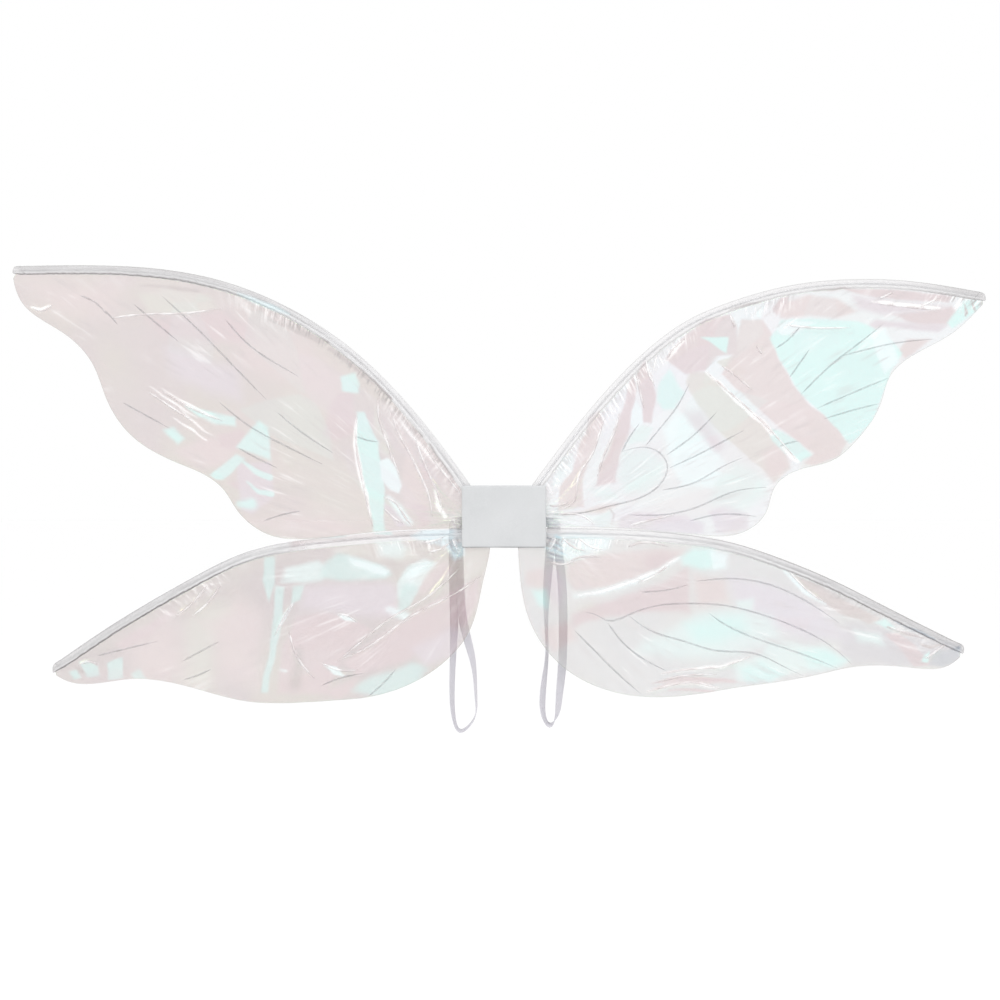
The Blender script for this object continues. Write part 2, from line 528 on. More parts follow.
            (6, [(335, -152), (362, -150), (386, -162), (370, -170), (345, -168)]),
            (5, [(266, -172), (290, -164), (320, -178), (300, -186), (275, -186)]),
            (4, [(32, -84), (48, -82), (50, -104), (38, -100)]),
            (2, [(418, -119), (430, -115), (446, -129), (432, -127)]),
            (1.2, [(472, -158), (480, -152), (478, -166), (470, -164)])],
        "aqua": [
            (9, [(175, -134), (215, -114), (255, -104), (300, -112), (310, -135), (280, -150), (240, -160),
                (200, -160), (150, -153), (158, -140)]),
            (5, [(298, -140), (360, -146), (390, -163), (376, -172), (310, -178), (265, -188), (258, -168),
                (290, -156)]),
            (4, [(262, -95), (282, -92), (280, -106), (262, -104)]),
            (5, [(395, -128), (425, -134), (430, -146), (400, -140)])],
        "pink": [
            (4, [(72, -54), (90, -46), (130, -41), (170, -37), (202, -37), (190, -52), (160, -66),
                (120, -79), (80, -82), (70, -68)]),
            (6, [(214, -66), (250, -72), (252, -96), (218, -100)]),
            (4, [(24, -62), (44, -58), (48, -80), (24, -78)]),
            (5, [(42, -126), (76, -118), (82, -138), (56, -152), (45, -140)]),
            (2, [(165, -196), (190, -184), (225, -181), (270, -186), (240, -188), (200, -190)])],
        "rose": [
            (4, [(138, -88), (180, -74), (208, -56), (209, -108), (170, -107), (120, -112), (78, -124),
                (76, -110), (110, -98)]),
            (4, [(160, -44), (192, -42), (180, -57), (160, -60)]),
            (1.5, [(430, -133), (444, -131), (460, -142), (470, -154), (483, -168), (462, -169),
                (450, -152)]),
            (1, [(185, -197, 1), (215, -195, 1.8), (238, -197, 1)]),
            (1, [(168, -188, 0.8), (200, -182, 2.2), (245, -184, 2.2), (272, -188, 1)])],
        "cream": [
            (3, [(88, -56), (140, -52), (130, -74), (96, -80)]),
            (6, [(80, -104), (100, -98), (120, -108), (90, -116)])],
        "lilac": [
            (10, [(252, -66), (300, -76), (360, -104), (388, -138), (340, -138), (300, -122), (262, -100)])],
        "grey": [
            (6, [(385, -118), (420, -124), (470, -136), (514, -148), (512, -164), (455, -168), (395, -168),
                (378, -150)])],
        "brown": [
            (1.5, [(330, -68), (352, -79), (380, -93), (415, -111), (426, -115), (412, -121), (385, -112),
                (348, -91)])],
        "violet": [
            (6, [(50, -60), (60, -56), (66, -80), (60, -110), (50, -90)])],
        "white": [
            (2, [(196, -46, 0.5), (175, -60, 1), (145, -73, 1.2), (112, -84, 1), (84, -89, 0.5)]),
            (1.5, [(178, -177, 0.6), (210, -172, 1.5), (245, -169, 1.5), (277, -158, 0.6)]),
            (1.5, [(160, -198, 0.6), (188, -190, 1.3), (215, -187, 1.3), (242, -194, 0.6)])],
        "pale": [
            (5, [(232, -38), (252, -42), (251, -58), (236, -60)]),
            (1.5, [(316, -61, 1.5), (338, -84, 3), (362, -99, 1)]),
            (5, [(50, -22), (84, -20), (122, -24), (118, -36), (96, -42), (76, -50), (52, -46)]),
            (4, [(198, -46, 1.5), (175, -61, 2.5), (145, -74, 3), (110, -85, 3), (80, -90, 1.5)])],
        "ice": [
            (1, [(46, -20, 1.2), (58, -21, 2), (70, -28, 1)]),
            (1, [(46, -28, 1), (58, -31, 1.8), (70, -37, 0.8)]),
            (1, [(46, -35, 1), (58, -38, 1.8), (70, -43, 0.8)])],
        "milky": [
            (3, [(45, -13), (57, -13), (57, -30), (45, -30)])],
        "deep": [
            (1, [(330, -68, 0.5), (352, -78, 1.4), (378, -90, 0.6)]),
            (1, [(432, -125, 0.5), (452, -132, 1.2), (472, -138, 0.5)]),
            (1, [(470, -144, 1), (482, -147, 2.5), (492, -145, 1)])],
        "blue": [
            (2, [(480, -168), (492, -152), (514, -147), (514, -162), (498, -170)]),
            (0.8, [(480, -168, 1), (486, -158, 2.2), (492, -148, 1)]),
            (0.8, [(440, -118, 0.6), (462, -128, 2.0), (486, -138, 1)]),
            (0.7, [(46, -24, 0.6), (56, -27, 1.3), (66, -34, 0.5)]),
            (0.7, [(46, -31, 0.6), (56, -34, 1.3), (66, -40, 0.5)]),
            (0.7, [(46, -38, 0.6), (56, -42, 1.5), (67, -46, 0.5)]),
            (0.7, [(48, -45, 0.6), (58, -49, 1.4), (68, -50, 0.5)]),
            (0.7, [(72, -26, 0.4), (84, -34, 0.9), (92, -40, 0.4)])],
    },
}

# The film's colours, as they lie over the white behind it, in the order they cover one another.
FILM_COLOURS = {
    "grey": (0.400, 0.404, 0.447),
    "cream": (0.470, 0.465, 0.420),
    "beige": (0.455, 0.425, 0.385),
    "pink": (0.505, 0.410, 0.418),
    "rose": (0.455, 0.340, 0.368),
    "violet": (0.480, 0.420, 0.485),
    "brown": (0.390, 0.330, 0.325),
    "lilac": (0.500, 0.475, 0.560),
    "aqua": (0.530, 0.690, 0.690),
    "teal": (0.375, 0.590, 0.580),
    "cyan": (0.410, 0.735, 0.715),
    "pale": (0.640, 0.790, 0.820),
    "ice": (0.520, 0.730, 0.810),
    "milky": (0.700, 0.680, 0.690),
    "white": (0.930, 0.940, 0.940),
    "deep": (0.270, 0.220, 0.220),
    "blue": (0.260, 0.310, 0.370),
}
FILM_BASES = {
    "upper_left": ((0.428, 0.360, 0.373), (0.442, 0.405, 0.366)),
    "upper_right": ((0.640, 0.690, 0.740), (0.600, 0.655, 0.680)),
    "lower_left": ((0.365, 0.310, 0.323), (0.402, 0.375, 0.338)),
    "lower_right": ((0.485, 0.515, 0.535), (0.500, 0.520, 0.515)),
}
# Tints of the film's small facets.
FACET_TINTS = ((0.56, 0.40, 0.45), (0.47, 0.46, 0.40), (0.42, 0.70, 0.69), (0.52, 0.45, 0.56))


def distances(curve):
    """Each point's distance along a polyline."""
    return np.concatenate([[0.0], np.cumsum(np.linalg.norm(np.diff(curve, axis=0), axis=1))])


def directions(curve):
    """The unit direction of a polyline at each of its points."""
    tangent = np.gradient(curve, axis=0)
    return tangent / np.linalg.norm(tangent, axis=1)[:, None]


def natural_spline(points, count):
    """Evenly spaced places along the smooth curve through hand-set points."""
    knots = np.array(points, float)
    at_knot = distances(knots)
    spans = np.diff(at_knot)
    system = np.eye(len(knots))
    right = np.zeros_like(knots)
    for i in range(1, len(knots) - 1):
        system[i, i - 1:i + 2] = spans[i - 1], 2.0 * (spans[i - 1] + spans[i]), spans[i]
        slope_after = (knots[i + 1] - knots[i]) / spans[i]
        slope_before = (knots[i] - knots[i - 1]) / spans[i - 1]
        right[i] = 6.0 * (slope_after - slope_before)
    bend = np.linalg.solve(system, right)
    fine = np.linspace(0.0, at_knot[-1], 60 * len(knots))
    k = np.clip(np.searchsorted(at_knot, fine, side="right") - 1, 0, len(spans) - 1)
    b = ((fine - at_knot[k]) / spans[k])[:, None]
    a = 1.0 - b
    curve = a * knots[k] + b * knots[k + 1]
    curve += ((a ** 3 - a) * bend[k] + (b ** 3 - b) * bend[k + 1]) * (spans[k] ** 2)[:, None] / 6.0
    return evenly(curve, count)


def evenly(curve, count, first=0.0, last=1.0):
    """Evenly spaced places along a polyline, between two shares of its length."""
    along = distances(curve)
    places = np.linspace(first, last, count) * along[-1]
    return np.stack([np.interp(places, along, values) for values in curve.T], axis=1)


def smoothstep(low, high, value):
    """0 below low, 1 above high, smooth between."""
    t = np.clip((value - low) / (high - low), 0.0, 1.0)
    return t * t * (3.0 - 2.0 * t)


def field_noise(x, z, size, seed):
    """Soft noise from about -1 to 1 whose features are about size mm across."""
    flat = [noise.noise(Vector((px / size, pz / size, seed))) for px, pz in zip(np.ravel(x), np.ravel(z))]
    return np.reshape(flat, np.shape(x))


def rounded(value, power):
    """A value from -1 to 1 brought to a power, with its sign kept."""
    return np.sign(value) * np.abs(value) ** power


def nearest_on_run(x, z, start, end):
    """The share of a straight run at its point nearest to each place, and the distance to that point."""
    run_x = end[0] - start[0]
    run_z = end[1] - start[1]
    along = ((x - start[0]) * run_x + (z - start[1]) * run_z) / (run_x ** 2 + run_z ** 2)
    along = np.clip(along, 0.0, 1.0)
    return along, np.hypot(x - start[0] - along * run_x, z - start[1] - along * run_z)


def line_distance(x, z, line):
    """Distance from each place to a polyline, and the share of its length at the nearest point."""
    best = np.full(np.shape(x), np.inf)
    share = np.zeros(np.shape(x))
    for index, (start, end) in enumerate(zip(line[:-1], line[1:])):
        along, away = nearest_on_run(x, z, start, end)
        nearer = away < best
        best = np.where(nearer, away, best)
        share = np.where(nearer, (index + along) / (len(line) - 1), share)
    return best, share


def stroke_depth(x, z, stroke):
    """How far inside a stroke of (x, z, radius) points each place lies."""
    depth = np.full(np.shape(x), -np.inf)
    for start, end in zip(stroke, stroke[1:]):
        along, away = nearest_on_run(x, z, start, end)
        radius = start[2] + along * (end[2] - start[2])
        depth = np.maximum(depth, radius - away)
    return depth


def outline_depth(x, z, outline):
    """How far inside an outline each place lies: minus is outside."""
    edge = np.full(np.shape(x), np.inf)
    inside = np.zeros(np.shape(x), bool)
    for start, end in zip(outline, outline[1:] + outline[:1]):
        edge = np.minimum(edge, nearest_on_run(x, z, start, end)[1])
        if start[1] != end[1]:
            crossing = start[0] + (z - start[1]) * (end[0] - start[0]) / (end[1] - start[1])
            inside ^= ((start[1] > z) != (end[1] > z)) & (x < crossing)
    return np.where(inside, edge, -edge)


def patch_depths(name, x, z):
    """For each colour, how far inside its patches each place lies, in edge softnesses."""
    warp_x = x + 1.6 * field_noise(x, z, 17.0, 51.0)
    warp_z = z + 1.6 * field_noise(x, z, 17.0, 57.0)
    depths = {}
    for colour in FILM_COLOURS:
        depth = np.full(x.shape, -3.0)
        for softness, points in PATCHES[name].get(colour, []):
            measure = stroke_depth if len(points[0]) == 3 else outline_depth
            depth = np.maximum(depth, measure(warp_x, warp_z, points) / softness)
        depths[colour] = np.minimum(depth, 3.0)
    return depths


def wing_curves(wing):
    """The wing's leading edge, seam and free edge, each from the pad to the tip."""
    leading = wing["leading"]
    last = len(leading) - 1
    seam = []
    for index, point in enumerate(leading):
        before = leading[max(index - 1, 0)]
        after = leading[min(index + 1, last)]
        run_x = after[0] - before[0]
        run_z = after[1] - before[1]
        width = SLEEVE_ROOT_WIDTH - (SLEEVE_ROOT_WIDTH - SLEEVE_TIP_WIDTH) * (index / last) ** 2
        step = wing["side"] * width / math.hypot(run_x, run_z)
        seam.append((point[0] + step * run_z, point[1] - step * run_x))
    nose = natural_spline([leading[-1], wing["nose"], wing["tip"]], 12)
    wing["leading_curve"] = np.vstack([natural_spline(leading, 240), nose[1:]])
    wing["seam_curve"] = np.vstack([natural_spline(seam, 240), [wing["tip"]]])
    wing["free_curve"] = natural_spline([wing["tip"]] + wing["trailing"], 400)[::-1]


def folds_height(name, x, z):
    """How far the pinched folds stand up from the film, in mm."""
    height = np.zeros(np.shape(x))
    for fold in FOLDS[name]:
        away, along = line_distance(x, z, natural_spline(fold, 24))
        taper = smoothstep(0.0, 0.15, along) * smoothstep(1.0, 0.8, along)
        height += FOLD_HEIGHT * taper * np.maximum(1.0 - away / FOLD_REACH, 0.0) ** 1.5
    return height


def film_height(name, x, z):
    """How far the film stands out of the wing's plane, in mm: minus is towards the outer face."""
    wing = WINGS[name]
    seed = wing["height_seed"]
    seam, share = line_distance(x, z, wing["seam_curve"][::6])
    free, _ = line_distance(x, z, wing["free_curve"][::8])
    out = np.abs(x) - PAD_HALF_WIDTH
    held = smoothstep(0.0, 14.0, seam)
    outward = wing["side"] * x - GATHER_X
    upward = z - wing["gather_z"]
    reach = np.hypot(outward, upward)
    angle = np.arctan2(upward, outward)

    billow = -BILLOW * smoothstep(0.0, 90.0, seam) * smoothstep(-10.0, 60.0, free)
    slow = 2.4 * field_noise(x, z, 95.0, seed) + 1.1 * field_noise(x, z, 42.0, seed + 5.0)
    crumple = 0.40 * field_noise(x, z, 15.0, seed + 9.0)

    wander = 0.15 * field_noise(x, z, 60.0, seed + 7.0)
    rays = np.sin((angle + wander) * 34.0) * np.exp(-reach / 70.0)
    rays += 0.7 * np.sin((angle + wander) * 15.0 + 1.0) * np.exp(-reach / 160.0)
    pleat_phase = z / 0.62 + 2.0 * field_noise(x, z, 12.0, seed + 1.0)
    pleats = np.sin(pleat_phase) * np.exp(-np.maximum(out, 0.0) / 12.0)

    pucker_phase = share * 130.0 + 5.0 * field_noise(x, z, 22.0, seed + 3.0) + seam * 0.10
    pucker_strength = np.exp(-((seam - 9.0) / 9.0) ** 2) * (0.35 + 0.65 * np.exp(-share * 3.0))
    pucker = np.sin(pucker_phase) * pucker_strength
    edge_curl = 1.3 * np.exp(-free / 10.0) * np.sin(share * 46.0 + seed)

    height = billow + slow + crumple + 1.15 * rays + 0.55 * pucker + edge_curl - folds_height(name, x, z)
    height = height * held * smoothstep(-6.0, 30.0, out)
    height = height + 0.9 * pleats * held * smoothstep(-7.0, 3.0, out)
    return np.clip(height, -9.0, 9.0)


def film_gleam(name, x, z):
    """Fine light and dark streaks in the film: rays from the pad and puckers along the sleeve."""
    wing = WINGS[name]
    seed = wing["gleam_seed"]
    seam, share = line_distance(x, z, wing["seam_curve"][::6])
    outward = wing["side"] * x - GLEAM_X
    reach = np.hypot(outward, z)
    angle = np.arctan2(z, outward)
    rays = field_noise(angle * 26.0, reach / 55.0, 1.0, seed)
    rays += 0.6 * field_noise(angle * 60.0, reach / 30.0, 1.0, seed + 3.0)
    pucker = field_noise(share * 75.0 + seam * 0.02, seam / 16.0, 1.0, seed + 5.0)
    near_pad = np.exp(-reach / 90.0)
    near_seam = np.exp(-seam / 16.0)
    facets = field_noise(x + 0.7 * z, z * 0.35, 24.0, seed + 9.0)
    return rays * (0.25 + 0.9 * near_pad) + 0.5 * pucker * near_seam + 0.40 * facets


def new_piece(name, points, faces, material):
    """A mesh object in metres from points in mm."""
    mesh = bpy.data.meshes.new(name)
    mesh.from_pydata((np.reshape(points, (-1, 3)) * MM).tolist(), [], faces)
    mesh.polygons.foreach_set("use_smooth", np.ones(len(mesh.polygons), bool))
    mesh.materials.append(material)
    mesh.update()
    piece = bpy.data.objects.new(name, mesh)
    bpy.context.scene.collection.objects.link(piece)
    return piece


def put_values(piece, name, values):
    """A number for each vertex, which the material reads by name. Values for one face of a sheet repeat."""
    copies = len(piece.data.vertices) // np.size(values)
    numbers = piece.data.attributes.new(name, "FLOAT", "POINT")
    numbers.data.foreach_set("value", np.tile(np.ravel(values), copies).astype(np.float32))


def put_places(piece, name, first, second):
    """A pair of coordinates for each vertex of both faces of a sheet, which the material reads by name."""
    pairs = piece.data.attributes.new(name, "FLOAT_VECTOR", "POINT")
    places = np.stack([np.ravel(first), np.ravel(second), np.zeros(np.size(first))], axis=1)
    pairs.data.foreach_set("vector", np.ravel(np.tile(places, (2, 1))).astype(np.float32))


def put_rest_place(piece):
    """Each vertex's place at rest, so that a pattern stays on the piece as it bends."""
    place = np.zeros(3 * len(piece.data.vertices), np.float32)
    piece.data.vertices.foreach_get("co", place)
    places = piece.data.attributes.new("rest_place", "FLOAT_VECTOR", "POINT")
    places.data.foreach_set("vector", place)


def grid_shell(front, back):
    """The points and faces of a closed shell between two grids of the same size. Faces may look inwards."""
    rows, columns = front.shape[:2]
    count = rows * columns

    def at(layer, i, j):
        return layer * count + i * columns + j

    faces = []
    for i in range(rows - 1):
        for j in range(columns - 1):
            faces.append((at(0, i, j), at(0, i + 1, j), at(0, i + 1, j + 1), at(0, i, j + 1)))
            faces.append((at(1, i, j), at(1, i, j + 1), at(1, i + 1, j + 1), at(1, i + 1, j)))
    for i in range(rows - 1):
        for j in (0, columns - 1):
            faces.append((at(0, i, j), at(1, i, j), at(1, i + 1, j), at(0, i + 1, j)))
    for j in range(columns - 1):
        for i in (0, rows - 1):
            faces.append((at(0, i, j), at(1, i, j), at(1, i, j + 1), at(0, i, j + 1)))
    return np.concatenate([front.reshape(-1, 3), back.reshape(-1, 3)]), faces


def ring_tube(rings):
    """The points and faces of a closed tube through rings of the same number of points."""
    rows, around = rings.shape[:2]
    faces = []
    for i in range(rows - 1):
        for j in range(around):
            k = (j + 1) % around
            faces.append((i * around + j, i * around + k, (i + 1) * around + k, (i + 1) * around + j))
    faces.append(tuple(range(around - 1, -1, -1)))
    faces.append(tuple((rows - 1) * around + j for j in range(around)))
    return rings.reshape(-1, 3), faces


def face_outwards(piece):
    """Turns all faces of a closed piece outwards."""
    work = bmesh.new()
    work.from_mesh(piece.data)
    bmesh.ops.recalc_face_normals(work, faces=work.faces)
    work.to_mesh(piece.data)
    work.free()


def bend_with_wing(piece):
    """The piece follows the pad at its root and the wing further out."""
    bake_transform(piece)


# Materials


def add(tree, kind, links=None, **settings):
    """A shader node with its settings and its inputs' values or links."""
    item = tree.nodes.new("ShaderNode" + kind)
    for key, value in settings.items():
        setattr(item, key, value)
    for key, value in (links or {}).items():
        if isinstance(value, bpy.types.NodeSocket):
            tree.links.new(value, item.inputs[key])
        else:
            item.inputs[key].default_value = value
    return item


def start_material(name, **values):
    """A material with one Principled shader, its node tree and that shader."""
    material = bpy.data.materials.new(name)
    material.use_nodes = True
    tree = material.node_tree
    shader = tree.nodes["Principled BSDF"]
    for key, value in values.items():
        shader.inputs[key.replace("_", " ")].default_value = value
    return material, tree, shader


def mix_colour(tree, share, first, second):
    """The colour between two colours."""
    item = add(tree, "Mix", data_type="RGBA")
    for socket, value in ((item.inputs[0], share), (item.inputs[6], first), (item.inputs[7], second)):
        if isinstance(value, bpy.types.NodeSocket):
            tree.links.new(value, socket)
        elif isinstance(value, tuple):
            socket.default_value = (*value, 1.0)
        else:
            socket.default_value = value
    return item.outputs[2]


def math_node(tree, operation, first, second=0.0):
    """The result of one calculation."""
    return add(tree, "Math", {0: first, 1: second}, operation=operation).outputs[0]


def times(tree, first, second):
    """The product of two values."""
    return math_node(tree, "MULTIPLY", first, second)


def remap(tree, value, low, high, new_low=0.0, new_high=1.0):
    """A value brought smoothly from one range to another."""
    limits = {"Value": value, "From Min": low, "From Max": high, "To Min": new_low, "To Max": new_high}
    return add(tree, "MapRange", limits, interpolation_type="SMOOTHSTEP").outputs[0]


def number(tree, name):
    """A number that the piece carries."""
    return add(tree, "Attribute", attribute_name=name).outputs["Fac"]


def vector(tree, name):
    """A vector that the piece carries."""
    return add(tree, "Attribute", attribute_name=name).outputs["Vector"]


def noise_node(tree, place, scale, detail=2.0, roughness=0.5, distortion=0.0):
    """Soft noise from 0 to 1."""
    values = {"Vector": place, "Scale": scale, "Detail": detail, "Roughness": roughness}
    return add(tree, "TexNoise", {**values, "Distortion": distortion}).outputs["Fac"]


def stretched(tree, place, scale):
    """The place scaled by a different number each way, for streaks."""
    return add(tree, "Mapping", {"Vector": place, "Scale": scale}).outputs[0]


def uneven(tree, shader, strength, distance, height):
    """A bumpy surface, its bumps up to distance metres high."""
    bump = add(tree, "Bump", {"Strength": strength, "Distance": distance, "Height": height})
    tree.links.new(bump.outputs[0], shader.inputs["Normal"])


def coloured(tree, shader, colour):
    """The surface takes the colour."""
    tree.links.new(colour, shader.inputs["Base Color"])


def cover_with_patches(tree, colour, strength):
    """The colour under the interference colours, each with its own edge."""
    for name, patch in FILM_COLOURS.items():
        depth = number(tree, name)
        colour = mix_colour(tree, remap(tree, depth, -1.0, 1.0, 0.0, strength), colour, patch)
    return colour


def facet_tint(tree, flow):
    """A faint colour for each of the long facets that the film creases into, and how much of it shows."""
    cells = stretched(tree, flow, (7.0, 0.011, 1.0))
    picked = add(tree, "TexVoronoi", {"Vector": cells, "Scale": 1.0}).outputs["Color"]
    hue, family, strength = add(tree, "SeparateColor", {0: picked}).outputs
    warm = mix_colour(tree, remap(tree, hue, 0.45, 0.55), FACET_TINTS[0], FACET_TINTS[1])
    cool = mix_colour(tree, remap(tree, hue, 0.45, 0.55), FACET_TINTS[2], FACET_TINTS[3])
    tint = mix_colour(tree, remap(tree, family, 0.62, 0.66), warm, cool)
    return tint, remap(tree, strength, 0.3, 0.9, 0.0, 0.16)


def flow_streaks(tree, colour, flow, place):
    """The colour with fine light and dark streaks that run out from the pad, here and there."""
    lines = noise_node(tree, stretched(tree, flow, (75.0, 0.018, 1.0)), 1.0)
    where = noise_node(tree, place, 11.0, 1.0)
    light_here = remap(tree, where, 0.42, 0.62, 0.0, 0.42)
    light = times(tree, remap(tree, lines, 0.57, 0.70), light_here)
    colour = mix_colour(tree, light, colour, (0.92, 0.93, 0.94))
    dark_here = remap(tree, where, 0.35, 0.55, 0.05, 0.35)
    dark = times(tree, remap(tree, lines, 0.43, 0.32), dark_here)
    return mix_colour(tree, dark, colour, (0.30, 0.26, 0.28))


def seam_puckers(tree, colour):
    """The colour with the short dark and light puckers where the film is welded to the sleeve."""
    seam = number(tree, "seam")
    ripple = stretched(tree, vector(tree, "seam_place"), (0.36, 0.045, 1.0))
    tick = noise_node(tree, ripple, 1.0, 2.0, 0.5, 0.4)
    dark = times(tree, remap(tree, tick, 0.50, 0.60), remap(tree, seam, 11.0, 2.0, 0.0, 0.95))
    dark = times(tree, dark, number(tree, "dark_puckers"))
    colour = mix_colour(tree, dark, colour, (0.06, 0.05, 0.05))
    light = times(tree, remap(tree, tick, 0.47, 0.37), remap(tree, seam, 24.0, 4.0, 0.0, 0.85))
    light = times(tree, light, number(tree, "light_puckers"))
    return mix_colour(tree, light, colour, (0.97, 0.98, 0.98))


def film_material(name):
    """Thin iridescent film: pale colours that change from patch to patch, fine streaks and a high gloss."""
    material, tree, shader = start_material(name + "_iridescent_film", Roughness=0.15, IOR=1.46,
                                            Alpha=FILM_ALPHA, Thin_Film_Thickness=430.0, Thin_Film_IOR=1.7)
    place = vector(tree, "rest_place")
    flow = vector(tree, "flow")
    drift = remap(tree, noise_node(tree, place, 8.0, 2.0, 0.5, 0.4), 0.36, 0.66)
    colour = cover_with_patches(tree, mix_colour(tree, drift, *FILM_BASES[name]), 0.90)
    tint, shown = facet_tint(tree, flow)
    colour = mix_colour(tree, shown, colour, tint)
    gleam = number(tree, "gleam")
    colour = mix_colour(tree, remap(tree, gleam, 0.2, 0.9, 0.0, 0.35), colour, (0.88, 0.90, 0.91))
    colour = mix_colour(tree, remap(tree, gleam, -0.2, -0.8, 0.0, 0.25), colour, (0.34, 0.29, 0.31))
    colour = seam_puckers(tree, flow_streaks(tree, colour, flow, place))
    free_edge = remap(tree, number(tree, "edge"), 1.8, 0.3, 0.0, 0.35)
    coloured(tree, shader, mix_colour(tree, free_edge, colour, (0.36, 0.34, 0.34)))
    uneven(tree, shader, 0.30, 0.0004, noise_node(tree, place, 240.0, 3.0, 0.55, 0.8))
    return material


def sleeve_noise(tree, along, across, length, spread, roughness, distortion):
    """Noise whose features are about length mm long and a share of the sleeve's width across."""
    long_way = times(tree, along, 1.0 / length)
    place = add(tree, "CombineXYZ", {"X": long_way, "Y": times(tree, across, spread)}).outputs[0]
    return noise_node(tree, place, 1.0, 3.0, roughness, distortion)


def sleeve_material():
    """Welded layers of film: greyer and denser, with streaks along it and dark lines at its edges."""
    material, tree, shader = start_material("sleeve_film", Roughness=0.25, IOR=1.46)
    along = number(tree, "along")
    across = number(tree, "across")
    clear = number(tree, "clear")
    streak = sleeve_noise(tree, along, across, 45.0, 3.2, 0.6, 0.2)
    crinkle = sleeve_noise(tree, along, across, 8.0, 1.6, 0.6, 0.5)
    wandering = math_node(tree, "ADD", across, remap(tree, crinkle, 0.2, 0.8, -0.06, 0.06))

    colour = mix_colour(tree, remap(tree, streak, 0.34, 0.66), (0.550, 0.540, 0.548), (0.660, 0.656, 0.662))
    far = remap(tree, along, 180.0, 480.0, 0.0, 0.35)
    colour = mix_colour(tree, far, colour, (0.40, 0.385, 0.385))
    colour = mix_colour(tree, times(tree, clear, 0.75), colour, (0.79, 0.78, 0.79))
    colour = cover_with_patches(tree, colour, 0.75)

    seam = times(tree, remap(tree, wandering, 0.78, 0.90), remap(tree, wandering, 1.0, 0.95))
    dark = math_node(tree, "MINIMUM", times(tree, seam, number(tree, "seam_line")), 0.9)
    colour = mix_colour(tree, dark, colour, (0.12, 0.10, 0.10))
    outer = remap(tree, across, 0.12, 0.02)
    dark = math_node(tree, "MINIMUM", times(tree, outer, number(tree, "outer_line")), 0.8)
    colour = mix_colour(tree, dark, colour, (0.25, 0.24, 0.24))
    light = times(tree, remap(tree, wandering, 0.58, 0.68), remap(tree, wandering, 0.78, 0.70))
    coloured(tree, shader, mix_colour(tree, times(tree, light, 0.35), colour, (0.90, 0.90, 0.91)))

    thick = remap(tree, streak, 0.3, 0.7, 0.60, 0.72)
    thin = remap(tree, clear, 0.0, 1.0, 1.0, 0.45)
    tree.links.new(times(tree, thick, thin), shader.inputs["Alpha"])
    uneven(tree, shader, 0.3, 0.0006, crinkle)
    return material


def vein_material():
    """Pale grey print."""
    material, tree, shader = start_material("vein_print", Roughness=0.4, Alpha=0.26)
    worn = remap(tree, noise_node(tree, vector(tree, "rest_place"), 130.0, 3.0), 0.35, 0.65)
    coloured(tree, shader, mix_colour(tree, worn, (0.28, 0.29, 0.30), (0.46, 0.46, 0.47)))
    return material


def fold_material():
    """The sharp back of a fold in the film: almost white on one side and shaded on the other."""
    material, tree, shader = start_material("fold_ridge", Roughness=0.12, IOR=1.5, Alpha=0.62)
    patchy = remap(tree, noise_node(tree, vector(tree, "rest_place"), 70.0, 3.0), 0.38, 0.62)
    bright = mix_colour(tree, patchy, (0.74, 0.68, 0.68), (0.95, 0.94, 0.94))
    shaded = remap(tree, number(tree, "across"), 0.60, 0.90, 0.0, 0.35)
    coloured(tree, shader, mix_colour(tree, shaded, bright, (0.36, 0.31, 0.33)))
    return material


def wire_material():
    """Drawn steel with fine lines along it."""
    material, tree, shader = start_material("drawn_steel", Metallic=1.0, Roughness=0.32)
    lines = noise_node(tree, stretched(tree, vector(tree, "rest_place"), (60.0, 900.0, 900.0)), 1.0)
    coloured(tree, shader, mix_colour(tree, lines, (0.50, 0.50, 0.51), (0.72, 0.72, 0.73)))
    tree.links.new(remap(tree, lines, 0.3, 0.7, 0.26, 0.40), shader.inputs["Roughness"])
    return material


def foam_material(name, dark, light):
    """Smooth fine-grained foam sheet, with a darker line along its lower edge."""
    material, tree, shader = start_material(name, Roughness=0.75)
    place = add(tree, "TexCoord").outputs["Object"]
    grain = noise_node(tree, place, 1500.0, 3.0, 0.6)
    mottle = noise_node(tree, place, 22.0)
    mixed = math_node(tree, "ADD", times(tree, grain, 0.7), times(tree, mottle, 0.3))
    colour = mix_colour(tree, remap(tree, mixed, 0.35, 0.65), dark, light)
    worn = times(tree, number(tree, "rim"), remap(tree, mottle, 0.40, 0.60, 0.95, 0.45))
    coloured(tree, shader, mix_colour(tree, worn, colour, (0.07, 0.07, 0.07)))
    tree.links.new(remap(tree, grain, 0.3, 0.7, 0.66, 0.84), shader.inputs["Roughness"])
    uneven(tree, shader, 0.25, 0.0002, grain)
    return material


def glue_material():
    """Milky hot-melt glue."""
    material, tree, shader = start_material("hot_melt_glue", Roughness=0.2, Alpha=0.8)
    cloud = noise_node(tree, add(tree, "TexCoord").outputs["Object"], 400.0, 3.0)
    coloured(tree, shader, mix_colour(tree, cloud, (0.80, 0.78, 0.72), (0.90, 0.89, 0.86)))
    return material


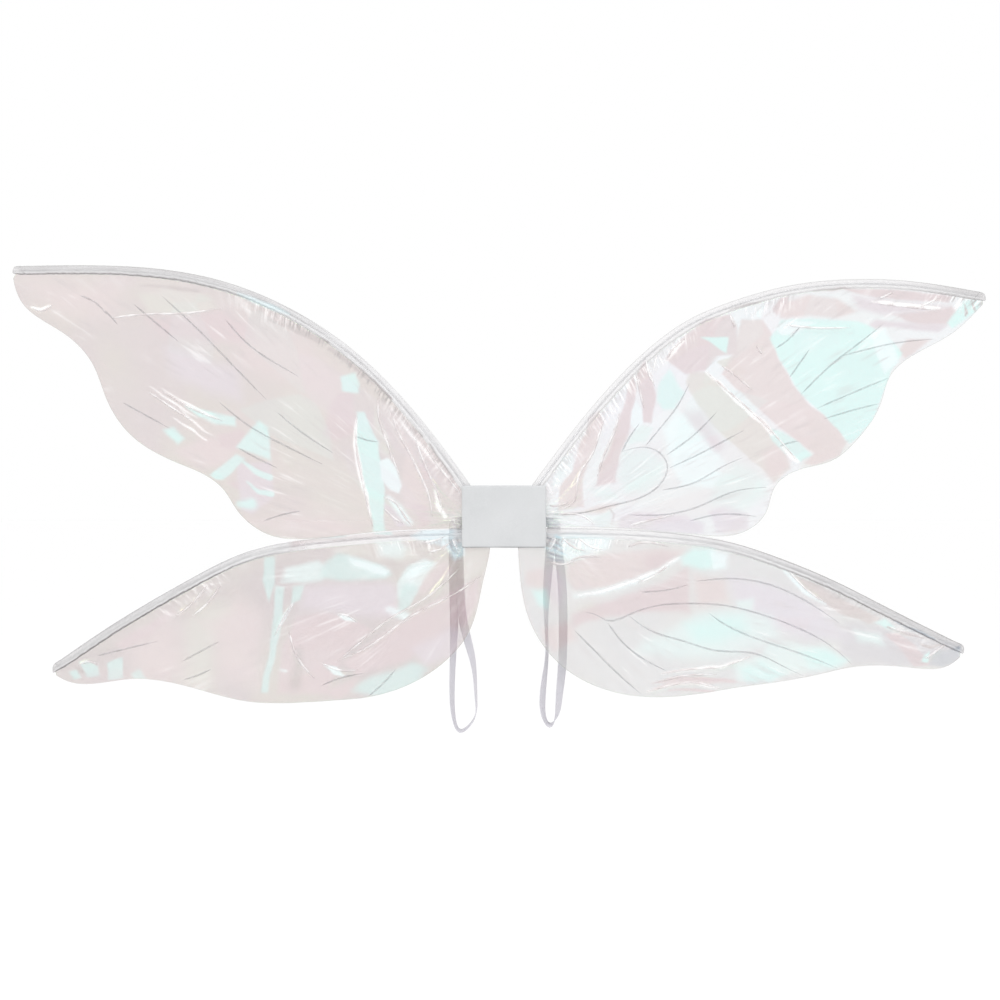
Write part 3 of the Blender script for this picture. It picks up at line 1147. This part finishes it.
def elastic_material():
    """Flat braided elastic: ribs along the band and a fine weave across it, paler near the pad."""
    material, tree, shader = start_material("woven_elastic", Roughness=0.7, Sheen_Weight=0.25)
    place = vector(tree, "rest_place")
    rib = math_node(tree, "SINE", times(tree, number(tree, "across"), 2.0 * math.pi * ELASTIC_RIBS))
    pick = math_node(tree, "SINE", times(tree, number(tree, "along"), 2.0 * math.pi / ELASTIC_PICK))
    weave = math_node(tree, "ADD", times(tree, rib, 0.6), times(tree, pick, 0.4))
    fuzz = times(tree, noise_node(tree, place, 900.0, 3.0), 0.3)
    shade = math_node(tree, "ADD", remap(tree, weave, -1.0, 1.0, 0.0, 0.7), fuzz)
    colour = mix_colour(tree, shade, (0.475, 0.460, 0.505), (0.640, 0.630, 0.665))
    height = add(tree, "SeparateXYZ", {"Vector": place}).outputs["Z"]
    colour = mix_colour(tree, remap(tree, height, -0.140, -0.100, 0.0, 0.65), colour, (0.77, 0.73, 0.79))
    colour = mix_colour(tree, remap(tree, height, -0.045, -0.020, 0.0, 0.9), colour, (0.95, 0.94, 0.96))
    coloured(tree, shader, colour)
    uneven(tree, shader, 0.6, 0.0003, weave)
    return material


def floor_material():
    """A plain pale floor."""
    material, tree, shader = start_material("pale_floor", Roughness=0.9, Emission_Strength=0.06,
                                            Emission_Color=(1.0, 1.0, 1.0, 1.0))
    soft = noise_node(tree, add(tree, "TexCoord").outputs["Object"], 3.0)
    coloured(tree, shader, mix_colour(tree, soft, (0.93, 0.93, 0.93), (0.94, 0.94, 0.94)))
    return material


# Pieces of the wings


def put_patches(piece, name, x, z):
    """The depths that the film and the sleeve take their colours from."""
    for colour, depth in patch_depths(name, x, z).items():
        put_values(piece, colour, depth)


def pucker_strength(stretches, x):
    """How strong the puckers are at each distance from the middle of the pad."""
    strength = np.zeros(x.shape)
    for start, end, most in stretches:
        begun = smoothstep(start - 12.0, start + 12.0, np.abs(x))
        left = smoothstep(end + 14.0, end - 14.0, np.abs(x))
        strength = np.maximum(strength, most * begun * left)
    return strength


def put_film_values(piece, name, x, z):
    """What the film's material reads: patches, streaks, and places along the seam and the free edge."""
    wing = WINGS[name]
    put_patches(piece, name, x, z)
    put_values(piece, "gleam", film_gleam(name, x, z))
    put_values(piece, "edge", line_distance(x, z, wing["free_curve"][::4])[0])
    seam, share = line_distance(x, z, wing["seam_curve"][::4])
    put_values(piece, "seam", seam)
    put_places(piece, "seam_place", share * distances(wing["seam_curve"])[-1] + 0.35 * seam, seam)
    hub_x, hub_z = wing["hub"]
    angle = np.arctan2(z - hub_z, wing["side"] * (x - hub_x))
    put_places(piece, "flow", angle, np.hypot(x - hub_x, z - hub_z))
    for kind in ("dark_puckers", "light_puckers"):
        put_values(piece, kind, pucker_strength(wing[kind], x))
    put_rest_place(piece)


def make_film(name, material, columns, rows):
    """The film: a thin sheet stretched between the sleeve's seam and its own free edge."""
    wing = WINGS[name]
    root = np.array(wing["root"], float).reshape(-1, 2)
    top = evenly(np.vstack([root, wing["seam_curve"]]), columns, 0.0, 0.994)
    bottom = evenly(wing["free_curve"], columns, 0.0, 0.992)
    share = np.linspace(0.0, 1.0, rows)[None, :, None]
    flat = top[:, None, :] * (1.0 - share) + bottom[:, None, :] * share
    x = flat[:, :, 0]
    z = flat[:, :, 1]
    y = WING_Y + film_height(name, x, z)
    half = np.full(x.shape, 0.5 * FILM_THICKNESS)
    half[:, -1] = 0.5 * FILM_EDGE_THICKNESS
    points, faces = grid_shell(np.stack([x, y - half, z], axis=2), np.stack([x, y + half, z], axis=2))
    piece = new_piece(name + "_film_sheet", points, faces, material)
    face_outwards(piece)
    put_film_values(piece, name, x, z)
    bend_with_wing(piece)
    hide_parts(name + "_film", name + ("_film_root" if name.startswith("upper") else "_film_lobe"))
    return piece


def line_rings(name, line, index, half_width, rise):
    """Cross-sections of one tapered line on the film: edge, ridge and edge in front, and the same behind."""
    curve = natural_spline(line, 40)
    curve = evenly(curve, max(int(distances(curve)[-1] / LINE_STEP), 8))
    tangent = directions(curve)
    share = np.linspace(0.0, 1.0, len(curve))
    taper = 0.25 + 0.75 * smoothstep(0.0, 0.12, share) * smoothstep(1.0, 0.75, share)
    taper *= 1.0 + 0.25 * np.array([noise.noise(Vector((s * 9.0, index * 3.7, 1.3))) for s in share])
    step = np.stack([tangent[:, 1], -tangent[:, 0]], axis=1) * (half_width * taper)[:, None]
    rings = []
    for offset, out in ((-1, 0.02), (0, rise), (1, 0.02), (1, -0.1), (0, -0.6 * rise), (-1, -0.1)):
        place = curve + offset * step
        face = math.copysign(0.5 * FILM_THICKNESS, out) + out
        y = WING_Y + film_height(name, place[:, 0], place[:, 1]) - face
        rings.append(np.stack([place[:, 0], y, place[:, 1]], axis=1))
    return np.stack(rings, axis=1)


def lines_on_film(name, suffix, lines, half_width, rise, material):
    """Thin raised lines that follow the film, as one piece."""
    points = []
    faces = []
    for index, line in enumerate(lines):
        tube, tube_faces = ring_tube(line_rings(name, line, index, half_width, rise))
        faces += [tuple(k + len(points) for k in face) for face in tube_faces]
        points += tube.tolist()
    piece = new_piece(name + suffix, np.array(points), faces, material)
    face_outwards(piece)
    put_values(piece, "across", [0.0, 0.5, 1.0, 1.0, 0.5, 0.0])
    put_rest_place(piece)
    bend_with_wing(piece)
    return piece


def sleeve_wrinkles(along, across, turns, length, spread, seed):
    """Noise round one cross-section of the sleeve, different on its two faces."""
    return np.array([noise.noise(Vector((along / length, spread * a, seed + (t > math.pi))))
                     for a, t in zip(across, turns)])


def sleeve_rings(wing, first, last, count):
    """Cross-sections of the sleeve between two shares of its length, with their places along and across."""
    outer = evenly(wing["leading_curve"], count, first, last)
    inner = evenly(wing["seam_curve"], count, first, last)
    width = np.linalg.norm(inner - outer, axis=1)
    length = distances(wing["leading_curve"])[-1]
    turns = np.linspace(0.0, 2.0 * math.pi, SLEEVE_SIDES, endpoint=False)
    across = 0.5 - 0.5 * rounded(np.cos(turns), 0.9)
    round_off = np.sqrt(np.abs(np.sin(turns)))
    rings = []
    places = []
    for i in range(count):
        along = (first + (last - first) * i / (count - 1)) * length
        thick = SLEEVE_FLAT + SLEEVE_BULGE * np.exp(-((across - 0.5) * width[i] / 3.0) ** 2)
        thick += 0.26 * sleeve_wrinkles(along, across, turns, 26.0, 2.4, 40.0)
        thick += 0.14 * sleeve_wrinkles(along, across, turns, 9.0, 1.6, 44.0)
        thick *= min(1.0, width[i] / (0.8 * SLEEVE_TIP_WIDTH))
        thick *= 0.75 + 0.25 * smoothstep(BEND_START, BEND_END, abs(outer[i, 0]))
        x = outer[i, 0] + across * (inner[i, 0] - outer[i, 0])
        z = outer[i, 1] + across * (inner[i, 1] - outer[i, 1])
        y = WING_Y - np.sign(np.sin(turns)) * np.maximum(thick, 0.12) * round_off
        rings.append(np.stack([x, y, z], axis=1))
        places.append(np.stack([np.full(across.shape, along), across], axis=1))
    return np.array(rings), np.array(places)


def make_sleeve(name, suffix, first, last, count, material):
    """One stretch of the sleeve as a closed piece."""
    rings, places = sleeve_rings(WINGS[name], first, last, count)
    points, faces = ring_tube(rings)
    piece = new_piece(name + suffix, points, faces, material)
    face_outwards(piece)
    put_values(piece, "along", places[:, :, 0])
    put_values(piece, "across", places[:, :, 1])
    put_patches(piece, name, rings[:, :, 0], rings[:, :, 2])
    share = places[:, :, 0] / places[-1, 0, 0] * last
    for line in ("seam_line", "outer_line"):
        at_root, at_tip = WINGS[name][line]
        put_values(piece, line, at_root + (at_tip - at_root) * smoothstep(0.35, 0.75, share))
    clear, start, end = WINGS[name]["clear"]
    put_values(piece, "clear", clear * smoothstep(end, start, np.abs(rings[:, :, 0])))
    return piece


def make_wire(name, material):
    """The steel wire in the sleeve, from inside the pad to the tip."""
    wing = WINGS[name]
    outer = evenly(wing["leading_curve"], 260, WIRE_START, WIRE_END)
    inner = evenly(wing["seam_curve"], 260, WIRE_START, WIRE_END)
    middle = 0.5 * (outer + inner)
    turns = np.linspace(0.0, 2.0 * math.pi, 14, endpoint=False)
    rings = []
    for place, ahead in zip(middle, directions(middle)):
        x = place[0] + WIRE_RADIUS * np.cos(turns) * ahead[1]
        z = place[1] - WIRE_RADIUS * np.cos(turns) * ahead[0]
        rings.append(np.stack([x, WING_Y + WIRE_RADIUS * np.sin(turns), z], axis=1))
    points, faces = ring_tube(np.array(rings))
    piece = new_piece(name + "_wire", points, faces, material)
    put_rest_place(piece)
    bend_with_wing(piece)
    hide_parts(name + "_spine")
    return piece


def make_wings():
    """Film, veins, folds, sleeve, tip cap and wire of each wing."""
    sleeve = sleeve_material()
    vein = vein_material()
    fold = fold_material()
    wire = wire_material()
    for name, wing in WINGS.items():
        wing_curves(wing)
        rows = UPPER_FILM_ROWS if name.startswith("upper") else LOWER_FILM_ROWS
        sheet = make_film(name, film_material(name), FILM_COLUMNS, rows)
        veins = lines_on_film(name, "_veins", VEINS[name], VEIN_HALF_WIDTH, VEIN_RISE, vein)
        folds = lines_on_film(name, "_folds", FOLDS[name], FOLD_HALF_WIDTH, FOLD_RISE, fold)
        tube = make_sleeve(name, "_wire_sleeve", SLEEVE_START, CAP_START, 300, sleeve)
        bend_with_wing(tube)
        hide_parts(name + "_sleeve", name + "_sleeve_root")
        cap = make_sleeve(name, "_sleeve_end", CAP_START, CAP_END, 24, sleeve)
        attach(cap, name + "_wing")
        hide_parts(name + "_tip_cap")
        make_wire(name, wire)


# The pad


def soft_panel(name, node, material, dents=()):
    """A foam sheet of the CAD panel's size with softly rounded edges and a slightly uneven face.

    Each dent is (x, z, size, depth)."""
    low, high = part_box(node)
    half_x = 0.5 * (high.x - low.x) / MM
    half_z = 0.5 * (high.z - low.z) / MM
    thickness = (high.y - low.y) / MM
    middle_y = 0.5 * (low.y + high.y) / MM
    u, v = np.meshgrid(np.linspace(-1.0, 1.0, 72), np.linspace(-1.0, 1.0, 54), indexing="ij")
    border = np.minimum(half_x * (1.0 - np.abs(u)), half_z * (1.0 - np.abs(v)))
    over_x = np.maximum(half_x * np.abs(u) - (half_x - PAD_CORNER), 0.0)
    over_z = np.maximum(half_z * np.abs(v) - (half_z - PAD_CORNER), 0.0)
    pull_in = np.maximum(1.0 - PAD_CORNER / np.maximum(np.hypot(over_x, over_z), 1e-6), 0.0)
    x = half_x * u - np.sign(u) * over_x * pull_in
    z = half_z * v - np.sign(v) * over_z * pull_in
    from_flat = 1.0 - np.clip(border / PAD_EDGE_WIDTH, 0.0, 1.0)
    drop = PAD_EDGE_DROP * (1.0 - np.sqrt(1.0 - from_flat ** 2))
    sunk = 0.10 * field_noise(x, z, 26.0, 71.0) + 0.04 * field_noise(x, z, 7.0, 75.0)
    for dent_x, dent_z, size, depth in dents:
        sunk += depth * np.exp(-(((x - dent_x) / size) ** 2 + ((z - dent_z) / (0.6 * size)) ** 2))
    front = middle_y - 0.5 * thickness + drop + np.maximum(sunk, -0.05) * smoothstep(0.0, 4.0, border)
    back = middle_y + 0.5 * thickness - drop
    points, faces = grid_shell(np.stack([x, front, z], axis=2), np.stack([x, back, z], axis=2))
    piece = new_piece(name, points, faces, material)
    face_outwards(piece)
    put_values(piece, "rim", smoothstep(-half_z + 1.2, -half_z + 0.4, z))
    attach(piece, "back_panel")
    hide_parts(node)
    return piece


def make_pad():
    """The cover panel and the back pad, and better materials on the CAD pieces between them."""
    cover = foam_material("cover_foam", (0.470, 0.478, 0.486), (0.545, 0.553, 0.561))
    soft = foam_material("pad_foam", (0.50, 0.50, 0.51), (0.58, 0.58, 0.59))
    dents = [(-26.0, 16.0, 9.0, 0.5), (14.0, -8.0, 16.0, 0.12)]
    soft_panel("cover_sheet", "cover_panel", cover, dents)
    soft_panel("pad_sheet", "back_pad", soft)
    wire = wire_material()
    board = foam_material("board", (0.62, 0.61, 0.58), (0.70, 0.69, 0.66))
    glue = glue_material()
    for node, material in (("upper_wire_bridge", wire), ("lower_wire_bridge", wire),
                           ("stiffener_board", board), ("glue_beads", glue)):
        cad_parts[node].data.materials.clear()
        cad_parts[node].data.materials.append(material)


# The straps

# Each strap's middle line as (x, y, z, turn, lift): the turn of its width is 0 along X and 90 along Y, and
# the lift tilts the width up.
STRAPS = {
    "left": [
        (-57.0, -1.5, -13.0, 0.0, 0.0), (-57.5, 1.5, -40.0, 0.0, 0.0), (-57.0, 4.0, -80.0, 0.0, 0.0),
        (-56.5, 5.5, -118.0, 20.0, 0.0), (-57.8, 6.0, -160.0, 48.0, 0.0), (-58.8, 6.5, -205.0, 58.0, 0.0),
        (-56.5, 7.0, -230.0, 70.0, 0.15), (-47.5, 7.0, -243.0, 88.0, 0.35), (-35.5, 7.0, -232.0, 92.0, 0.15),
        (-31.5, 7.0, -208.0, 78.0, 0.0), (-32.8, 7.0, -184.0, 68.0, 0.0), (-38.5, 6.5, -150.0, 36.0, 0.0),
        (-45.5, 5.5, -122.0, 15.0, 0.0), (-49.5, 4.5, -85.0, 5.0, 0.0), (-51.0, 2.5, -45.0, 0.0, 0.0),
        (-52.0, -0.2, -13.0, 0.0, 0.0),
    ],
    "right": [
        (58.5, -0.2, -13.0, 0.0, 0.0), (62.5, 2.5, -45.0, 0.0, 0.0), (66.5, 4.5, -90.0, 0.0, 0.0),
        (67.0, 5.5, -130.0, 5.0, 0.0), (66.0, 6.0, -168.0, 16.0, 0.0), (62.5, 6.5, -205.0, 40.0, 0.0),
        (59.5, 7.0, -226.0, 62.0, 0.25), (52.0, 7.0, -236.5, 85.0, 0.55), (44.8, 7.0, -225.0, 62.0, 0.25),
        (43.8, 6.5, -204.0, 48.0, 0.0), (46.0, 7.0, -182.0, 55.0, 0.0), (48.6, 7.0, -155.0, 70.0, 0.0),
        (48.0, 6.5, -125.0, 68.0, 0.0), (48.0, 5.5, -95.0, 45.0, 0.0), (51.0, 2.0, -50.0, 10.0, 0.0),
        (54.0, -1.5, -13.0, 0.0, 0.0),
    ],
}


def ribbon(name, centre, width_vectors, material):
    """A flat band with rounded edges along a line, its width turned by a vector at each point."""
    tangent = directions(centre)
    width = width_vectors - tangent * np.sum(width_vectors * tangent, axis=1)[:, None]
    width /= np.linalg.norm(width, axis=1)[:, None]
    normal = np.cross(tangent, width)
    turns = np.linspace(0.0, 2.0 * math.pi, 24, endpoint=False)
    out = rounded(np.cos(turns), 0.35) * ELASTIC_HALF_WIDTH
    up = rounded(np.sin(turns), 0.6) * ELASTIC_HALF_THICKNESS
    up *= 1.0 + 0.10 * np.cos(out / ELASTIC_HALF_WIDTH * ELASTIC_RIBS * math.pi)
    rings = centre[:, None] + out[None, :, None] * width[:, None] + up[None, :, None] * normal[:, None]
    points, faces = ring_tube(rings)
    piece = new_piece(name, points, faces, material)
    put_values(piece, "along", np.repeat(distances(centre), len(turns)))
    put_values(piece, "across", np.tile(0.5 + 0.5 * out / ELASTIC_HALF_WIDTH, len(centre)))
    put_rest_place(piece)
    face_outwards(piece)
    return piece


def make_loop(side, route, material):
    """One arm loop, which swings where it leaves the pad."""
    samples = natural_spline(route, 220)
    turn = np.radians(samples[:, 3])
    width = np.stack([np.cos(turn), np.sin(turn), samples[:, 4]], axis=1)
    loop = ribbon(side + "_elastic_loop", samples[:, :3], width, material)
    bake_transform(loop)
    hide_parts(side + "_arm_loop")


def make_band_end(side, index, end, material):
    """One end of a loop's band: flat between the pad's layers, then out past its side and turned down."""
    sign = -1.0 if side == "left" else 1.0
    path = [(sign * 26.0, -3.6, -6.0), (sign * 40.0, -3.6, -6.0), (sign * 50.0, -3.4, -6.5),
            (end[0], -3.0 + 0.4 * index, -9.0), (end[0], end[1], -14.5)]
    centre = natural_spline(path, 60)
    share = smoothstep(0.55, 0.92, np.linspace(0.0, 1.0, len(centre)))
    width = np.stack([share, np.zeros(len(centre)), 1.0 - share], axis=1)
    tab = ribbon(side + "_elastic_end_" + str(index + 1), centre, width, material)
    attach(tab, "back_panel")
    return tab


def make_straps():
    """The two arm loops and the band ends that the pad holds."""
    material = elastic_material()
    for side, route in STRAPS.items():
        make_loop(side, route, material)
        tab = make_band_end(side, 0, route[0], material)
        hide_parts(side + "_strap_ends")
        make_band_end(side, 1, route[-1], material)


# Stage, light and camera


FLOOR_REACH = 60.0
FLOOR_HEIGHT = -0.45

# Softboxes: place and aim in metres, width and height, and power in watts.
SOFTBOXES = {
    "left_softbox": ((-1.7, -1.6, 1.1), (-0.1, 0.0, 0.0), (0.3, 1.2), 14.0),
    "right_softbox": ((1.9, -1.5, 0.8), (0.1, 0.0, 0.0), (0.3, 1.1), 11.0),
    "top_softbox": ((0.0, -0.5, 1.9), (0.0, 0.0, 0.0), (1.6, 0.3), 10.0),
}

# The camera: what it sees across the wings in metres, its place along X and Z, and its lens in mm.
VIEW_WIDTH = 1.128
CAMERA_X = -0.0045
CAMERA_Z = 0.0186
LENS = 100.0
SENSOR_WIDTH = 36.0


def make_stage():
    """A plain pale floor well below the wings."""
    mesh = bpy.data.meshes.new("floor")
    signs = ((-1.0, -1.0), (1.0, -1.0), (1.0, 1.0), (-1.0, 1.0))
    corners = [(x * FLOOR_REACH, y * FLOOR_REACH, FLOOR_HEIGHT) for x, y in signs]
    mesh.from_pydata(corners, [], [(0, 1, 2, 3)])
    mesh.materials.append(floor_material())
    floor = bpy.data.objects.new("floor", mesh)
    bpy.context.scene.collection.objects.link(floor)


def make_area_light(name, place, aim, size, power):
    """A soft rectangular light aimed at a point."""
    lamp = bpy.data.lights.new(name, "AREA")
    lamp.shape = "RECTANGLE"
    lamp.size, lamp.size_y = size
    lamp.energy = power
    light = bpy.data.objects.new(name, lamp)
    light.location = place
    light.rotation_euler = (Vector(aim) - Vector(place)).to_track_quat("-Z", "Y").to_euler()
    bpy.context.scene.collection.objects.link(light)


def make_light():
    """White all round, with two softboxes in front and one above."""
    world = bpy.data.worlds.new("studio")
    world.use_nodes = True
    background = world.node_tree.nodes["Background"]
    background.inputs["Color"].default_value = (1.0, 1.0, 1.0, 1.0)
    background.inputs["Strength"].default_value = 1.0
    bpy.context.scene.world = world
    for name, settings in SOFTBOXES.items():
        make_area_light(name, *settings)


def make_camera():
    """A level view of the outer face through a long lens."""
    camera = bpy.data.objects.new("camera", bpy.data.cameras.new("camera"))
    camera.data.sensor_width = SENSOR_WIDTH
    camera.data.lens = LENS
    camera.location = (CAMERA_X, WING_Y * MM - VIEW_WIDTH * LENS / SENSOR_WIDTH, CAMERA_Z)
    camera.rotation_euler = (math.pi / 2.0, 0.0, 0.0)
    bpy.context.scene.collection.objects.link(camera)
    bpy.context.scene.camera = camera
    bpy.context.scene.view_settings.view_transform = "Standard"


make_camera()
make_wings()
make_pad()
make_straps()
make_stage()
make_light()
